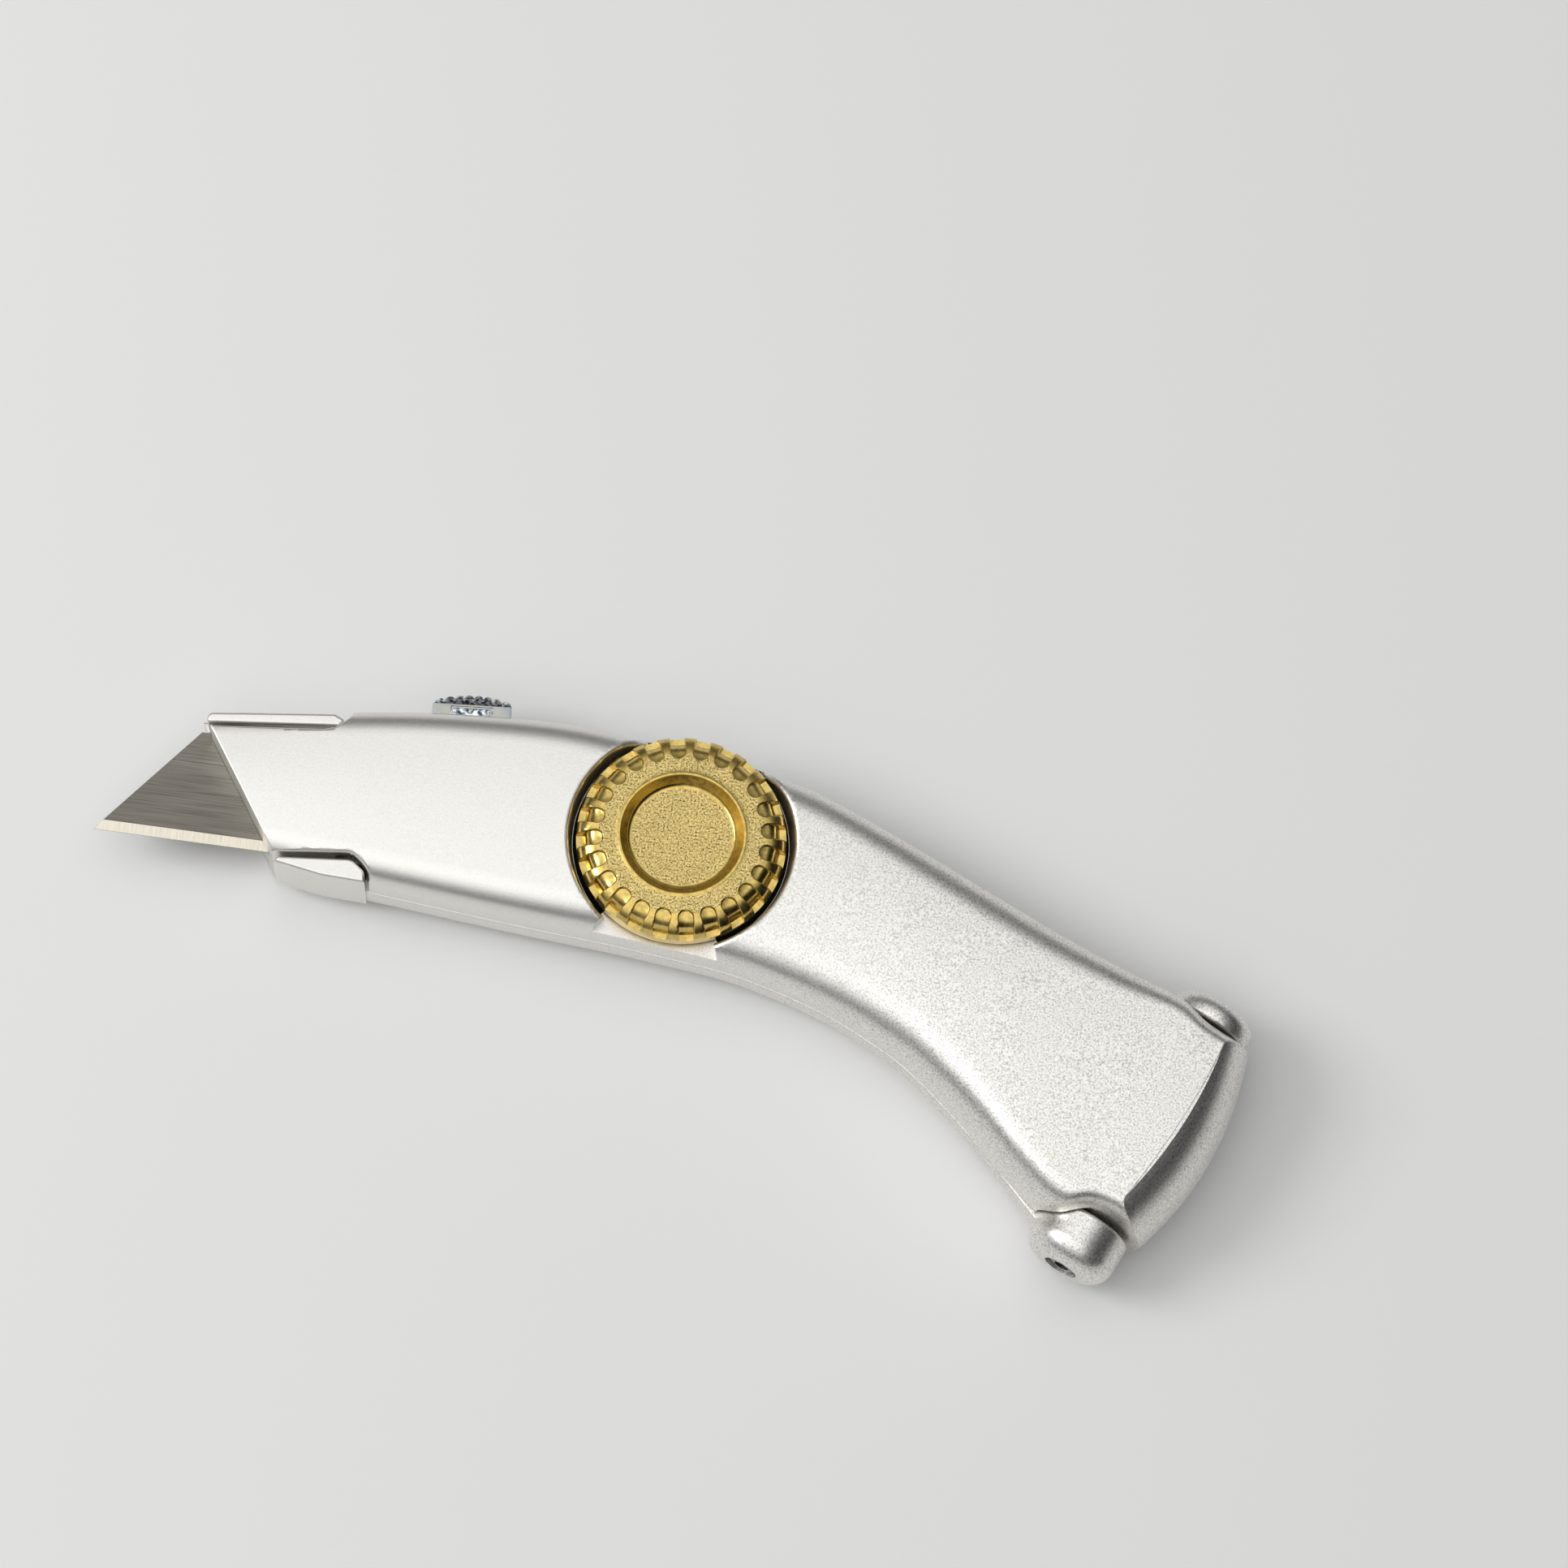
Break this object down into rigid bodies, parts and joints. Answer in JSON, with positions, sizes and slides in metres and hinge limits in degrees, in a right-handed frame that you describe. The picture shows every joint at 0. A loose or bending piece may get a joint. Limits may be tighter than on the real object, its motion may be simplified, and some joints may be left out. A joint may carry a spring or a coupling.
{
  "type": "utility knife",
  "caption": "Retractable utility knife with a die-cast two-part body hinged at the flared tail, a fluted clamping knob, a thumb slide and spare blades stored in the handle.",
  "frame": {"origin": "on the knob's axis, on the flat outside face of the far body half, which the knife lies on", "axes": "+X along the blade's edge from the tip towards the tail, +Y towards the thumb button, +Z out of the knob"},
  "size_m": [0.1956, 0.086, 0.0214],
  "materials": {
    "cast_body": "satin silver lacquer over die-cast zinc",
    "antique_brass": "antique brass plating, polished on the edges",
    "plated_zinc": "bright zinc plating",
    "blade_steel": "ground and brushed",
    "spring_steel": "bright",
    "screw_steel": "bright",
    "carrier_zinc": "as cast",
    "brass_insert": "turned",
    "store_plastic": "moulded"
  },
  "bodies": {
    "body": {"rear_case": "cast_body", "threaded_insert": "brass_insert", "hinge_screw_lower": "screw_steel", "hinge_screw_upper": "screw_steel", "slide_rail": "spring_steel", "rail_screw_front": "screw_steel", "rail_screw_rear": "screw_steel", "blade_store": "store_plastic", "spare_blade_1": "blade_steel", "spare_blade_2": "blade_steel", "spare_blade_3": "blade_steel", "spare_blade_4": "blade_steel", "spare_blade_5": "blade_steel", "store_clip": "spring_steel", "clip_screw": "screw_steel"},
    "cover": {"front_case": "cast_body"},
    "knob_lift": {"knob_washer": "spring_steel"},
    "knob": {"knob": "antique_brass", "clamp_stud": "screw_steel", "retaining_clip": "spring_steel"},
    "slider": {"blade_carrier": "carrier_zinc", "blade": "blade_steel"},
    "button": {"thumb_button": "plated_zinc", "button_pin": "screw_steel", "button_spring": "spring_steel"}
  },
  "joints": [
    {"name": "cover_hinge", "type": "hinge", "parent": "body", "child": "cover", "pos_m": [0.0724, -0.0574, 0.0095], "axis": [0.4165, 0.9091, 0], "range_deg": [0, 110]},
    {"name": "knob_lift", "type": "slide", "parent": "cover", "child": "knob_lift", "axis": [0, 0, 1], "range_m": [0, 0.00325]},
    {"name": "knob_turn", "type": "hinge", "parent": "knob_lift", "child": "knob", "pos_m": [0, 0, 0.0156], "axis": [0, 0, 1], "range_deg": [0, 1150]},
    {"name": "blade_slide", "type": "slide", "parent": "body", "child": "slider", "axis": [1, 0, 0], "range_m": [0, 0.031]},
    {"name": "button_press", "type": "slide", "parent": "slider", "child": "button", "axis": [0, -1, 0], "range_m": [0, 0.001], "stiffness_N_per_m": 1200, "deforming": ["button_spring"]}
  ],
  "couplings": [
    {"joint": "knob_lift", "follows": "knob_turn", "m_per_rad": 0.00015915}
  ]
}
